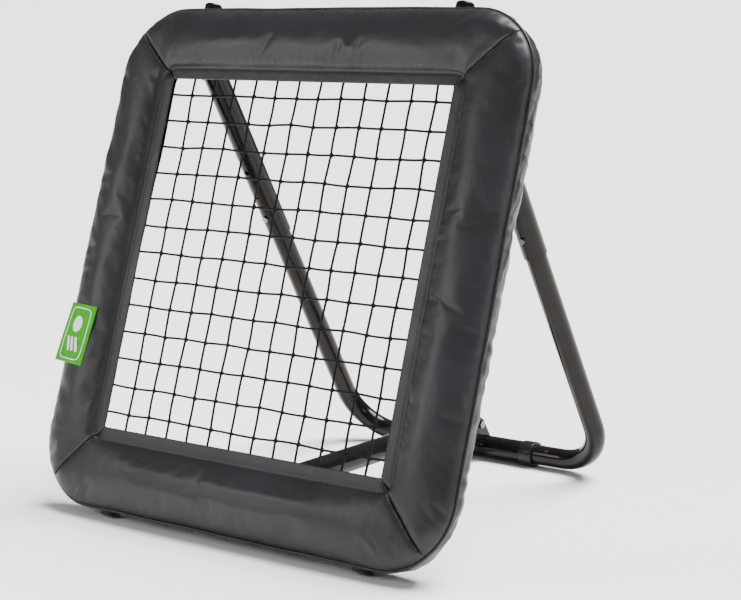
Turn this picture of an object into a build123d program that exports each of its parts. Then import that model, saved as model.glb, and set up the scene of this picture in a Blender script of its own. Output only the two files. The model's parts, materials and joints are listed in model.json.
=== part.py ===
from build123d import *
import os
from math import cos, radians, sin

# Pitch back rebounder: a padded, netted square frame that leans back on a folding bow of two
# legs. A telescopic spacer near the ground sets how far the bow's ground bar stands back, and so
# how far the net leans. Millimetres. +X is the right side seen from the front, -Y is the front,
# +Z is up. The origin is on the floor, at the middle of the whole object's footprint.

# ---- driving dimensions -----------------------------------------------------------------------
PAD_SIZE = 840.0            # padded frame, width and height
PAD_CORNER_R = 115.0
PAD_DEPTH = 46.0            # from the front piping back to the rear flap
PAD_PUFF = 20.0             # the front face stands this far before the piping
PAD_TILT = 19.0             # lean from the vertical at rest, degrees
PAD_LIFT = 17.05            # height of the pad's front bottom edge
OPENING_HALF_WIDTH = 289.0
OPENING_BOTTOM = 131.0
OPENING_TOP = 719.0
SKIN = 2.0
REAR_FLAP = 75.0

FRAME_R = 19.0
FRAME_WALL = 1.5
FRAME_BEND_R = 60.0
TUBE_W = -21.0              # frame tubes' depth behind the piping plane
SIDE_TUBE_U = 370.0
BOTTOM_TUBE_V = 52.0
TOP_TUBE_V = 788.0
JOINT_LOW_V = 145.0
JOINT_HIGH_V = 695.0

FOOT_LINE_Y = -342.05       # y of the pad's front bottom edge, centring the footprint on y = 0
GROUND_BAR_Y = FOOT_LINE_Y + 673.0
GROUND_BAR_Z = 22.0
LEG_X = 272.5
LEG_BEND_R = 90.0
LOWER_R = 17.5
UPPER_R = 20.0
TUBE_WALL = 1.5
UPPER_START = 450.0         # distances along a leg from the ground bar's axis
LOWER_END = 560.0
LEG_SCREW_AT = 490.0
LEG_HOLES_AT = (537.0, 587.0)
UPPER_STOP_SHORT = 36.0

SPACER_Z = 72.0
SPACER_R = 20.0
SPACER_START = FOOT_LINE_Y + 66.0
SPACER_END = GROUND_BAR_Y - 64.0
LOCK_Y = GROUND_BAR_Y - 88.0
LOCK_STEP = 165.0
LOCK_STEPS = 3

SLEEVE_HALF = 115.0
COLLAR_R = 22.0
COLLAR_FROM = 102.0
COLLAR_TO = 128.0
BAR_BUTTON_X = 158.0
FOOT_U = 265.0
CAP_U = 260.0
STUD_W = -18.5
STUD_R = 4.0

# ---- reference planes -------------------------------------------------------------------------
tilt = radians(PAD_TILT)
UP_PAD = Vector(0, sin(tilt), cos(tilt))
OUT_PAD = Vector(0, -cos(tilt), sin(tilt))
PAD = Plane(origin=(0, FOOT_LINE_Y, PAD_LIFT), x_dir=(1, 0, 0), z_dir=OUT_PAD)


def pad_point(u, v, w):
    """A point u across, v up and w forward of the pad's front bottom edge."""
    return PAD.from_local_coords(Vector(u, v, w))


BAR_AXIS = Vector(0, GROUND_BAR_Y, GROUND_BAR_Z)
TOP_HINGE = pad_point(0, TOP_TUBE_V, TUBE_W)
BOTTOM_HINGE = pad_point(0, BOTTOM_TUBE_V, TUBE_W)
LEG_LENGTH = (TOP_HINGE - BAR_AXIS).length
UP_LEG = (TOP_HINGE - BAR_AXIS).normalized()
LEG = Plane(origin=BAR_AXIS, x_dir=(1, 0, 0), z_dir=Vector(1, 0, 0).cross(UP_LEG))


def up_pad_plane(u, v, w):
    """Plane square to the pad's height, facing up the pad."""
    return Plane(origin=pad_point(u, v, w), x_dir=(1, 0, 0), z_dir=UP_PAD)


def save(piece, name):
    piece.part.label = name
    export_step(piece.part, f"parts/{name}.step")


def bent_tube(plane, points, bend_radius, radius):
    """Thin tube along straight runs joined by one bend radius."""
    with BuildPart() as tube:
        with BuildLine(plane) as route:
            FilletPolyline(*points, radius=bend_radius)
        with BuildSketch(Plane(origin=route.line @ 0, z_dir=route.line % 0)):
            Circle(radius)
            Circle(radius - TUBE_WALL, mode=Mode.SUBTRACT)
        sweep(path=route.line)
    return tube


def ring(plane, outer, inner, length):
    """Straight tube or bush that starts on the plane and runs along its normal."""
    with BuildPart() as tube:
        with BuildSketch(plane):
            Circle(outer)
            Circle(inner, mode=Mode.SUBTRACT)
        extrude(amount=length)
    return tube


def bolt(plane, shank_r, shank, head_r, head):
    """Hexagon head bolt: the head stands on the plane and the shank runs against its normal."""
    with BuildPart() as piece:
        with BuildSketch(plane):
            RegularPolygon(head_r, 6)
        extrude(amount=head)
        with BuildSketch(plane):
            Circle(shank_r)
        extrude(amount=-shank)
    return piece


def nut(plane, outer, inner, height):
    with BuildPart() as piece:
        with BuildSketch(plane):
            RegularPolygon(outer, 6)
            Circle(inner, mode=Mode.SUBTRACT)
        extrude(amount=height)
    return piece


# ---- net frame: tubes -------------------------------------------------------------------------
os.makedirs("parts", exist_ok=True)
FRAME_PLANE = PAD.offset(TUBE_W)
SCREW_OFFSET = 25.0
SCREW_R = 3.0
screw_spots = [(s * SIDE_TUBE_U, v) for s in (-1, 1)
               for v in (JOINT_LOW_V - SCREW_OFFSET, JOINT_HIGH_V + SCREW_OFFSET)]


def frame_half(name, edge_v, joint_v, stud_u):
    """Top or bottom tube with its two corner bends, drilled for screws and studs."""
    route = [(-SIDE_TUBE_U, joint_v), (-SIDE_TUBE_U, edge_v), (SIDE_TUBE_U, edge_v),
             (SIDE_TUBE_U, joint_v)]
    tube = bent_tube(FRAME_PLANE, route, FRAME_BEND_R, FRAME_R)
    outward = 1 if edge_v > joint_v else -1
    with BuildPart() as piece:
        add(tube.part)
        for side in (-1, 1):
            with BuildSketch(up_pad_plane(side * stud_u, edge_v, STUD_W)):
                Circle(STUD_R)
            extrude(amount=outward * 2 * FRAME_R, mode=Mode.SUBTRACT)
        for u, v in screw_spots:
            with BuildSketch(PAD.offset(TUBE_W - FRAME_R - 1)):
                with Locations((u, v)):
                    Circle(SCREW_R)
            extrude(amount=FRAME_R, mode=Mode.SUBTRACT)
    save(piece, name)


frame_half("frame_tube_top", TOP_TUBE_V, JOINT_HIGH_V, CAP_U)
frame_half("frame_tube_bottom", BOTTOM_TUBE_V, JOINT_LOW_V, FOOT_U)
for side, name in ((-1, "frame_tube_left"), (1, "frame_tube_right")):
    straight = ring(up_pad_plane(side * SIDE_TUBE_U, JOINT_LOW_V, TUBE_W), FRAME_R,
                    FRAME_R - FRAME_WALL, JOINT_HIGH_V - JOINT_LOW_V)
    save(straight, name)

INNER_SLEEVE_R = FRAME_R - FRAME_WALL - 0.05
INNER_SLEEVE_LENGTH = 70.0
with BuildPart() as frame_joint_sleeves:
    for side in (-1, 1):
        for joint_v in (JOINT_LOW_V, JOINT_HIGH_V):
            start = joint_v - INNER_SLEEVE_LENGTH / 2
            with BuildSketch(up_pad_plane(side * SIDE_TUBE_U, start, TUBE_W)):
                Circle(INNER_SLEEVE_R)
                Circle(INNER_SLEEVE_R - FRAME_WALL, mode=Mode.SUBTRACT)
            extrude(amount=INNER_SLEEVE_LENGTH)
    for u, v in screw_spots:
        with BuildSketch(PAD.offset(TUBE_W - FRAME_R - 1)):
            with Locations((u, v)):
                Circle(SCREW_R)
        extrude(amount=FRAME_R, mode=Mode.SUBTRACT)
save(frame_joint_sleeves, "frame_joint_sleeves")

SCREW_HEAD_R = 5.5
with BuildPart() as frame_screws:
    for u, v in screw_spots:
        with BuildSketch(PAD.offset(TUBE_W - FRAME_R - 2.8)):
            with Locations((u, v)):
                Circle(SCREW_HEAD_R)
        extrude(amount=2.8)
        with BuildSketch(PAD.offset(TUBE_W - FRAME_R)):
            with Locations((u, v)):
                Circle(SCREW_R)
        extrude(amount=9.0)
save(frame_screws, "frame_screws")

# ---- net frame: feet and top caps ---------------------------------------------------------------
FOOT_R = 16.5
FOOT_HEIGHT = 10.0
CAP_R = 14.5
CAP_HEIGHT = 16.0
EDGE_GAP = 0.3
STUD_INTO_TUBE = 4.0
STUD_INTO_FOOT = 6.0
foot_stud_start = -STUD_INTO_FOOT
foot_stud_end = BOTTOM_TUBE_V - FRAME_R + STUD_INTO_TUBE
cap_stud_start = TOP_TUBE_V + FRAME_R - STUD_INTO_TUBE
cap_stud_end = PAD_SIZE + STUD_INTO_FOOT

for side, name in ((-1, "foot_left"), (1, "foot_right")):
    with BuildPart() as foot:
        with BuildSketch(up_pad_plane(side * FOOT_U, -FOOT_HEIGHT, STUD_W)):
            Circle(FOOT_R)
        extrude(amount=FOOT_HEIGHT - EDGE_GAP)
        with BuildSketch(up_pad_plane(side * FOOT_U, foot_stud_start, STUD_W)):
            Circle(STUD_R)
        extrude(amount=STUD_INTO_FOOT, mode=Mode.SUBTRACT)
        split(bisect_by=Plane.XY, keep=Keep.TOP)
    save(foot, name)

for side, name in ((-1, "top_cap_left"), (1, "top_cap_right")):
    with BuildPart() as cap:
        with BuildSketch(up_pad_plane(side * CAP_U, PAD_SIZE + EDGE_GAP, STUD_W)):
            Circle(CAP_R)
        extrude(amount=CAP_HEIGHT)
        fillet(cap.edges().group_by(Axis(origin=(0, 0, 0), direction=UP_PAD))[-1], 2.5)
        with BuildSketch(up_pad_plane(side * CAP_U, PAD_SIZE, STUD_W)):
            Circle(STUD_R)
        extrude(amount=STUD_INTO_FOOT, mode=Mode.SUBTRACT)
    save(cap, name)

with BuildPart() as foot_studs:
    for side in (-1, 1):
        with BuildSketch(up_pad_plane(side * FOOT_U, foot_stud_start, STUD_W)):
            Circle(STUD_R)
        extrude(amount=foot_stud_end - foot_stud_start)
save(foot_studs, "foot_studs")

with BuildPart() as top_cap_studs:
    for side in (-1, 1):
        with BuildSketch(up_pad_plane(side * CAP_U, cap_stud_start, STUD_W)):
            Circle(STUD_R)
        extrude(amount=cap_stud_end - cap_stud_start)
save(top_cap_studs, "top_cap_studs")

# ---- net frame: cover and foam ------------------------------------------------------------------
PAD_MIDDLE_V = PAD_SIZE / 2
OPENING_MIDDLE_V = (OPENING_BOTTOM + OPENING_TOP) / 2
OPENING_HEIGHT = OPENING_TOP - OPENING_BOTTOM
HOOK_SLOT_HALF = 28.0
HOOK_SLOT_TOP = 833.0
SADDLE_SLOT_HALF = 33.0
SADDLE_SLOT_BOTTOM = 26.0
ARM_SLOT_HALF = 28.0


def rounded_block(inset, w_low, w_high, front_round):
    """Square block with the pad's outline set in by a distance and its front edge rounded."""
    size = PAD_SIZE - 2 * inset
    with BuildPart() as block:
        with BuildSketch(PAD.offset(w_low)):
            with Locations((0, PAD_MIDDLE_V)):
                RectangleRounded(size, size, PAD_CORNER_R - inset)
        extrude(amount=w_high - w_low)
        if front_round:
            front = block.faces().sort_by(Axis(origin=(0, 0, 0), direction=OUT_PAD))[-1]
            fillet(front.edges(), front_round)
    return block


def wedges():
    """Outlines that cut a ring into its four mitred sides."""
    half = OPENING_HALF_WIDTH
    reach = half + 148.5
    low, high = OPENING_BOTTOM - 148.5, OPENING_TOP + 133.5
    far = PAD_SIZE
    top = [(-half, OPENING_TOP), (half, OPENING_TOP), (reach, high), (reach, high + far),
           (-reach, high + far), (-reach, high)]
    bottom = [(-half, OPENING_BOTTOM), (half, OPENING_BOTTOM), (reach, low), (reach, low - far),
              (-reach, low - far), (-reach, low)]
    right = [(half, OPENING_BOTTOM), (half, OPENING_TOP), (reach, high), (far, high), (far, low),
             (reach, low)]
    left = [(-u, v) for u, v in right]
    return {"top": top, "bottom": bottom, "left": left, "right": right}


def save_sides(whole, prefix):
    """Cuts a ring along its mitres and writes the four sides."""
    for side_name, outline in wedges().items():
        with BuildPart() as piece:
            add(whole.part)
            with BuildSketch(PAD.offset(-2 * PAD_DEPTH)):
                Polygon(*outline, align=None)
            extrude(amount=4 * PAD_DEPTH, mode=Mode.INTERSECT)
        save(piece, f"{prefix}_{side_name}")


COVER_ROUND = 12.0
with BuildPart() as cover:
    add(rounded_block(0, -PAD_DEPTH, PAD_PUFF, COVER_ROUND).part)
    add(rounded_block(SKIN, SKIN - PAD_DEPTH, PAD_PUFF - SKIN, COVER_ROUND - SKIN).part,
        mode=Mode.SUBTRACT)
    with BuildSketch(PAD):
        with Locations((0, OPENING_MIDDLE_V)):
            Rectangle(2 * OPENING_HALF_WIDTH, OPENING_HEIGHT)
    extrude(amount=2 * PAD_PUFF, mode=Mode.SUBTRACT)
    with BuildSketch(PAD):
        with Locations((0, PAD_MIDDLE_V)):
            RectangleRounded(PAD_SIZE - 2 * REAR_FLAP, PAD_SIZE - 2 * REAR_FLAP,
                             PAD_CORNER_R - REAR_FLAP)
        slot_height = REAR_FLAP + 5 - (PAD_SIZE - HOOK_SLOT_TOP)
        for slot_side in (-1, 1):
            with Locations((slot_side * LEG_X, HOOK_SLOT_TOP - slot_height / 2)):
                Rectangle(2 * HOOK_SLOT_HALF, slot_height)
        arm_height = REAR_FLAP + 5 - SADDLE_SLOT_BOTTOM
        with Locations((0, SADDLE_SLOT_BOTTOM + arm_height / 2)):
            Rectangle(2 * ARM_SLOT_HALF, arm_height)
    extrude(amount=-2 * PAD_DEPTH, mode=Mode.SUBTRACT)
    for stud_u, stud_v in ((FOOT_U, -SKIN), (CAP_U, PAD_SIZE - 2 * SKIN)):
        for stud_side in (-1, 1):
            with BuildSketch(up_pad_plane(stud_side * stud_u, stud_v, STUD_W)):
                Circle(STUD_R + EDGE_GAP)
            extrude(amount=3 * SKIN, mode=Mode.SUBTRACT)
save_sides(cover, "cover")

FOAM_INSET = 3.0
FOAM_SIDE = 29.0
FOAM_BAND = 80.0
FOAM_BACK = -42.0
FOAM_STEP = 5.0
FOAM_FRONT = 17.5
with BuildPart() as foam:
    add(rounded_block(FOAM_INSET, FOAM_BACK, FOAM_FRONT, COVER_ROUND - FOAM_INSET + 1).part)
    add(rounded_block(FOAM_SIDE, 2 * FOAM_BACK, FOAM_STEP, 0).part, mode=Mode.SUBTRACT)
    with BuildSketch(PAD.offset(FOAM_BACK)):
        with Locations((0, PAD_MIDDLE_V)):
            Rectangle(PAD_SIZE - 2 * FOAM_BAND, PAD_SIZE - 2 * FOAM_BAND)
        for slot_side in (-1, 1):
            with Locations((slot_side * LEG_X, HOOK_SLOT_TOP - FOAM_BAND / 2)):
                Rectangle(2 * HOOK_SLOT_HALF, FOAM_BAND)
        with Locations((0, SADDLE_SLOT_BOTTOM + FOAM_BAND / 2)):
            Rectangle(2 * SADDLE_SLOT_HALF, FOAM_BAND)
    extrude(amount=2 * PAD_DEPTH, mode=Mode.SUBTRACT)
    for stud_u, stud_v in ((FOOT_U, 0), (CAP_U, PAD_SIZE - FOAM_SIDE - 3)):
        for stud_side in (-1, 1):
            with BuildSketch(up_pad_plane(stud_side * stud_u, stud_v, STUD_W)):
                Circle(STUD_R + EDGE_GAP)
            extrude(amount=FOAM_SIDE + 3, mode=Mode.SUBTRACT)
save_sides(foam, "foam")

PIPING = 3.0
with BuildPart() as cover_piping:
    with BuildSketch(PAD.offset(-PIPING / 2)):
        with Locations((0, PAD_MIDDLE_V)):
            RectangleRounded(PAD_SIZE + 2 * PIPING, PAD_SIZE + 2 * PIPING,
                             PAD_CORNER_R + PIPING)
            RectangleRounded(PAD_SIZE, PAD_SIZE, PAD_CORNER_R, mode=Mode.SUBTRACT)
    extrude(amount=PIPING)
save(cover_piping, "cover_piping")

TAG_WIDTH = 60.0
TAG_HEIGHT = 98.0
TAG_V = 277.0
TAG_THICKNESS = 1.6
TAG_STAND_OUT = 10.0
with BuildPart() as side_tag:
    with BuildSketch(PAD.offset(PAD_PUFF + 0.2)):
        with Locations((TAG_WIDTH / 2 - PAD_SIZE / 2 - TAG_STAND_OUT, TAG_V)):
            Rectangle(TAG_WIDTH, TAG_HEIGHT)
    extrude(amount=TAG_THICKNESS)
save(side_tag, "side_tag")

# ---- net frame: net ---------------------------------------------------------------------------
NET_W = 4.0
STRING = 3.2
ROPE = 4.2
ROPE_HALF_U = 300.0
ROPE_BOTTOM = 119.0
ROPE_TOP = 731.0
UPRIGHT_STRINGS = 12
UPRIGHT_FIRST = -245.0
UPRIGHT_PITCH = 45.45
CROSS_STRINGS = 13
CROSS_FIRST = 157.0
CROSS_PITCH = 44.75
rope_middle = (ROPE_BOTTOM + ROPE_TOP) / 2
rope_height = ROPE_TOP - ROPE_BOTTOM
uprights = [UPRIGHT_FIRST + i * UPRIGHT_PITCH for i in range(UPRIGHT_STRINGS)]
crossings = [CROSS_FIRST + i * CROSS_PITCH for i in range(CROSS_STRINGS)]
with BuildPart() as net:
    with BuildSketch(PAD.offset(NET_W - STRING / 2)):
        for u in uprights:
            with Locations((u, rope_middle)):
                Rectangle(STRING, rope_height - ROPE)
        for v in crossings:
            with Locations((0, v)):
                Rectangle(2 * ROPE_HALF_U - ROPE, STRING)
    extrude(amount=STRING)
save(net, "net")

with BuildPart() as net_border_rope:
    with BuildSketch(PAD.offset(NET_W - ROPE / 2)):
        with Locations((0, rope_middle)):
            Rectangle(2 * ROPE_HALF_U + ROPE, rope_height + ROPE)
            Rectangle(2 * ROPE_HALF_U - ROPE, rope_height - ROPE, mode=Mode.SUBTRACT)
    extrude(amount=ROPE)
save(net_border_rope, "net_border_rope")

LOOP_WIDTH = 5.0
LOOP_THICKNESS = 1.4
LOOP_SPOTS = (-215, -145, -80, 80, 145, 215)


def net_loop(plane, rope_spot, tube_spot):
    """Elastic band stretched round the border rope and a frame tube."""
    with BuildPart() as band:
        with BuildSketch(plane):
            with Locations(rope_spot):
                Circle(ROPE * 0.72 + LOOP_THICKNESS)
            with Locations(tube_spot):
                Circle(FRAME_R + 0.1 + LOOP_THICKNESS)
            make_hull()
        extrude(amount=LOOP_WIDTH)
        with BuildSketch(plane):
            with Locations(rope_spot):
                Circle(ROPE * 0.72)
            with Locations(tube_spot):
                Circle(FRAME_R + 0.1)
            make_hull()
        extrude(amount=LOOP_WIDTH, mode=Mode.SUBTRACT)
    return band


side_plane = Plane(origin=pad_point(0, rope_middle, 0), x_dir=(1, 0, 0), z_dir=UP_PAD)
edge_plane = Plane(origin=pad_point(0, 0, 0), x_dir=UP_PAD, z_dir=(1, 0, 0))
with BuildPart() as net_loops:
    for side in (-1, 1):
        loop = net_loop(side_plane, (side * ROPE_HALF_U, -NET_W), (side * SIDE_TUBE_U, -TUBE_W))
        for spot in LOOP_SPOTS:
            add(loop.part.moved(Location(UP_PAD * spot)))
    for rope_v, tube_v in ((ROPE_BOTTOM, BOTTOM_TUBE_V), (ROPE_TOP, TOP_TUBE_V)):
        loop = net_loop(edge_plane, (rope_v, NET_W), (tube_v, TUBE_W))
        for spot in LOOP_SPOTS:
            add(loop.part.moved(Location((spot, 0, 0))))
save(net_loops, "net_loops")

# ---- base: spacer tube, front saddle, lock ------------------------------------------------------
PLATE = 3.0
PLATE_GAP = 0.3
SADDLE_BORE = FRAME_R + 0.3
SADDLE_R = SADDLE_BORE + PLATE
SADDLE_HALF = 30.0
SADDLE_BOLT_Y = BOTTOM_HINGE.Y + 75.0
SADDLE_BOLT_Z = (SPACER_Z + 25.0, SPACER_Z - 25.0)
SADDLE_LUG_R = 9.0
BOLT_R = 4.0
BOLT_HEAD_R = 7.0
BOLT_HEAD = 5.0
hinge_spot = (BOTTOM_HINGE.Y, BOTTOM_HINGE.Z)
plate_near = SPACER_R + PLATE_GAP
plate_far = plate_near + PLATE

with BuildPart() as front_saddle:
    for side in (-1, 1):
        with BuildSketch(Plane.YZ.offset(side * plate_near)):
            with Locations(hinge_spot):
                Circle(SADDLE_R)
            for bolt_z in SADDLE_BOLT_Z:
                with Locations((SADDLE_BOLT_Y, bolt_z)):
                    Circle(SADDLE_LUG_R)
            make_hull()
        extrude(amount=side * PLATE)
    with BuildSketch(Plane.YZ.offset(-SADDLE_HALF)):
        with Locations(hinge_spot):
            Circle(SADDLE_R)
    extrude(amount=2 * SADDLE_HALF)
    with BuildSketch(Plane.YZ.offset(-SADDLE_HALF)):
        with Locations(hinge_spot):
            Circle(SADDLE_BORE)
        for bolt_z in SADDLE_BOLT_Z:
            with Locations((SADDLE_BOLT_Y, bolt_z)):
                Circle(BOLT_R)
    extrude(amount=2 * SADDLE_HALF, mode=Mode.SUBTRACT)
save(front_saddle, "front_saddle")

OUTER_BORE = SPACER_R - TUBE_WALL
LOCK_PIN_R = 3.0
lock_plane = Plane(origin=(0, LOCK_Y, SPACER_Z), x_dir=(1, 0, 0), z_dir=(0, 0, 1))
spacer_front = Plane(origin=(0, SPACER_START, SPACER_Z), x_dir=(1, 0, 0), z_dir=(0, 1, 0))
with BuildPart() as spacer_outer_tube:
    add(ring(spacer_front, SPACER_R, OUTER_BORE, SPACER_END - SPACER_START).part)
    with BuildSketch(lock_plane):
        Circle(LOCK_PIN_R + 0.2)
    extrude(amount=2 * SPACER_R, mode=Mode.SUBTRACT)
save(spacer_outer_tube, "spacer_outer_tube")

BUSH_LENGTH = 14.0
BUSH_FLANGE = 2.0
bush_plane = Plane(origin=(0, SPACER_END - BUSH_LENGTH, SPACER_Z), x_dir=(1, 0, 0), z_dir=(0, 1, 0))
with BuildPart() as spacer_guide_bush:
    with BuildSketch(bush_plane):
        Circle(OUTER_BORE - 0.02)
    extrude(amount=BUSH_LENGTH)
    with BuildSketch(bush_plane.offset(BUSH_LENGTH)):
        Circle(SPACER_R)
    extrude(amount=BUSH_FLANGE)
    with BuildSketch(bush_plane):
        Circle(LOWER_R + 0.06)
    extrude(amount=BUSH_LENGTH + BUSH_FLANGE, mode=Mode.SUBTRACT)
save(spacer_guide_bush, "spacer_guide_bush")

with BuildPart() as saddle_bolts:
    for bolt_z in SADDLE_BOLT_Z:
        head_plane = Plane(origin=(plate_far, SADDLE_BOLT_Y, bolt_z), x_dir=(0, 1, 0), z_dir=(1, 0, 0))
        add(bolt(head_plane, BOLT_R, 2 * plate_far + 10, BOLT_HEAD_R, BOLT_HEAD).part)
save(saddle_bolts, "saddle_bolts")

NUT_HEIGHT = 6.5
with BuildPart() as saddle_nuts:
    for bolt_z in SADDLE_BOLT_Z:
        nut_plane = Plane(origin=(-plate_far, SADDLE_BOLT_Y, bolt_z), x_dir=(0, 1, 0), z_dir=(-1, 0, 0))
        add(nut(nut_plane, BOLT_HEAD_R, BOLT_R, NUT_HEIGHT).part)
save(saddle_nuts, "saddle_nuts")

HOUSING_R = 8.0
HOUSING_BORE = 6.0
HOUSING_FOOT = SPACER_R - 0.6
HOUSING_TOP = SPACER_R + 12.0
HOUSING_CAP = 2.0
with BuildPart() as lock_housing:
    with BuildSketch(lock_plane.offset(HOUSING_FOOT - 4)):
        Circle(HOUSING_R)
    extrude(amount=HOUSING_TOP - HOUSING_FOOT + 4)
    with BuildSketch(lock_plane.offset(HOUSING_FOOT - 4)):
        Circle(HOUSING_BORE)
    extrude(amount=HOUSING_TOP - HOUSING_FOOT + 4 - HOUSING_CAP, mode=Mode.SUBTRACT)
    with BuildSketch(lock_plane):
        Circle(LOCK_PIN_R + 0.2)
    extrude(amount=2 * HOUSING_TOP, mode=Mode.SUBTRACT)
    with BuildSketch(spacer_front):
        Circle(SPACER_R)
    extrude(amount=SPACER_END - SPACER_START, mode=Mode.SUBTRACT)
save(lock_housing, "lock_housing")

PIN_TIP = LOWER_R + 0.4
KNOB_FOOT = HOUSING_TOP + 0.3
KNOB_R = 11.0
KNOB_HEIGHT = 9.0
PIN_COLLAR_AT = SPACER_R + 1.6
PIN_COLLAR = 1.4
with BuildPart() as lock_knob:
    with BuildSketch(lock_plane.offset(PIN_TIP)):
        Circle(LOCK_PIN_R)
    extrude(amount=KNOB_FOOT - PIN_TIP)
    with BuildSketch(lock_plane.offset(PIN_COLLAR_AT)):
        Circle(HOUSING_BORE - 0.6)
    extrude(amount=PIN_COLLAR)
    with BuildSketch(lock_plane.offset(KNOB_FOOT)):
        Circle(KNOB_R)
    extrude(amount=KNOB_HEIGHT)
    fillet(lock_knob.edges().group_by(Axis.Z)[-1], 2.0)
save(lock_knob, "lock_knob")

spring_foot = PIN_COLLAR_AT + PIN_COLLAR + 0.1
spring_top = HOUSING_TOP - HOUSING_CAP - 0.1
lock_spring = ring(lock_plane.offset(spring_foot), HOUSING_BORE - 0.8, LOCK_PIN_R + 0.6,
                   spring_top - spring_foot)
save(lock_spring, "lock_spring")

# ---- slider: inner spacer tube, rear bracket, ground bar sleeve -----------------------------------
INNER_START = SPACER_START + 4.0
INNER_END = GROUND_BAR_Y - 41.0
TUBE_BOLT = (GROUND_BAR_Y - 53.0, SPACER_Z)
TOP_BOLT = (GROUND_BAR_Y - 23.0, 67.0)
TOE_BOLT = (GROUND_BAR_Y - 22.0, 33.5)
SMALL_BOLT_R = 3.0
inner_front = Plane(origin=(0, INNER_START, SPACER_Z), x_dir=(1, 0, 0), z_dir=(0, 1, 0))
with BuildPart() as spacer_inner_tube:
    add(ring(inner_front, LOWER_R, LOWER_R - TUBE_WALL, INNER_END - INNER_START).part)
    for step in range(LOCK_STEPS + 1):
        with BuildSketch(lock_plane):
            with Locations((0, -step * LOCK_STEP)):
                Circle(LOCK_PIN_R + 0.4)
        extrude(amount=SPACER_R, mode=Mode.SUBTRACT)
    with BuildSketch(Plane.YZ.offset(-SPACER_R)):
        with Locations(TUBE_BOLT):
            Circle(SMALL_BOLT_R)
    extrude(amount=2 * SPACER_R, mode=Mode.SUBTRACT)
save(spacer_inner_tube, "spacer_inner_tube")

CHEEK_NEAR = SPACER_R + 0.6
CHEEK_FAR = CHEEK_NEAR + PLATE
cheek = [(-160, 53), (-160, 97), (-86, 97), (-45, 92), (-22, 80), (-15, 76), (-11, 70), (7, 40),
         (8, 28), (-24, 24), (-66, 44)]
web = [(3.4, 46.0), (-7.4, 64.0), (-10, 62.5), (0.8, 44.5)]


def behind_bar(outline):
    return [(GROUND_BAR_Y + y, z) for y, z in outline]


with BuildPart() as rear_bracket:
    for side in (-1, 1):
        with BuildSketch(Plane.YZ.offset(side * CHEEK_NEAR)):
            Polygon(*behind_bar(cheek), align=None)
        extrude(amount=side * PLATE)
    with BuildSketch(Plane.YZ.offset(-CHEEK_FAR)):
        Polygon(*behind_bar(web), align=None)
    extrude(amount=2 * CHEEK_FAR)
    with BuildSketch(Plane.YZ.offset(-2 * CHEEK_FAR)):
        with Locations((GROUND_BAR_Y, GROUND_BAR_Z)):
            Circle(UPPER_R)
        with Locations(TOP_BOLT):
            Circle(BOLT_R)
        with Locations(TUBE_BOLT, TOE_BOLT):
            Circle(SMALL_BOLT_R)
    extrude(amount=4 * CHEEK_FAR, mode=Mode.SUBTRACT)
save(rear_bracket, "rear_bracket")

bracket_fixings = ((TOP_BOLT, BOLT_R, BOLT_HEAD_R, BOLT_HEAD), (TUBE_BOLT, SMALL_BOLT_R, 5.5, 4.0),
                   (TOE_BOLT, SMALL_BOLT_R, 5.0, 4.0))
with BuildPart() as bracket_bolts:
    for (bolt_y, bolt_z), shank_r, head_r, head in bracket_fixings:
        head_plane = Plane(origin=(CHEEK_FAR, bolt_y, bolt_z), x_dir=(0, 1, 0), z_dir=(1, 0, 0))
        add(bolt(head_plane, shank_r, 2 * CHEEK_FAR + 8, head_r, head).part)
save(bracket_bolts, "bracket_bolts")

with BuildPart() as bracket_nuts:
    for (bolt_y, bolt_z), shank_r, head_r, head in bracket_fixings:
        nut_plane = Plane(origin=(-CHEEK_FAR, bolt_y, bolt_z), x_dir=(0, 1, 0), z_dir=(-1, 0, 0))
        add(nut(nut_plane, head_r, shank_r, head).part)
save(bracket_nuts, "bracket_nuts")

RUNNING = 0.08
bar_plane = Plane(origin=BAR_AXIS, x_dir=(0, 1, 0), z_dir=(1, 0, 0))
ground_bar_sleeve = ring(bar_plane.offset(-SLEEVE_HALF), UPPER_R, LOWER_R + RUNNING,
                         2 * SLEEVE_HALF)
save(ground_bar_sleeve, "ground_bar_sleeve")

for side, name in ((-1, "sleeve_collar_left"), (1, "sleeve_collar_right")):
    with BuildPart() as collar:
        with BuildSketch(bar_plane.offset(side * COLLAR_FROM)):
            Circle(COLLAR_R)
        extrude(amount=side * (COLLAR_TO - COLLAR_FROM))
        chamfer(collar.edges().filter_by(GeomType.CIRCLE), 1.0)
        with BuildSketch(bar_plane.offset(side * COLLAR_FROM)):
            Circle(UPPER_R)
        extrude(amount=side * (SLEEVE_HALF - COLLAR_FROM), mode=Mode.SUBTRACT)
        with BuildSketch(bar_plane.offset(side * COLLAR_FROM)):
            Circle(LOWER_R + RUNNING)
        extrude(amount=side * (COLLAR_TO - COLLAR_FROM), mode=Mode.SUBTRACT)
    save(collar, name)

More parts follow.
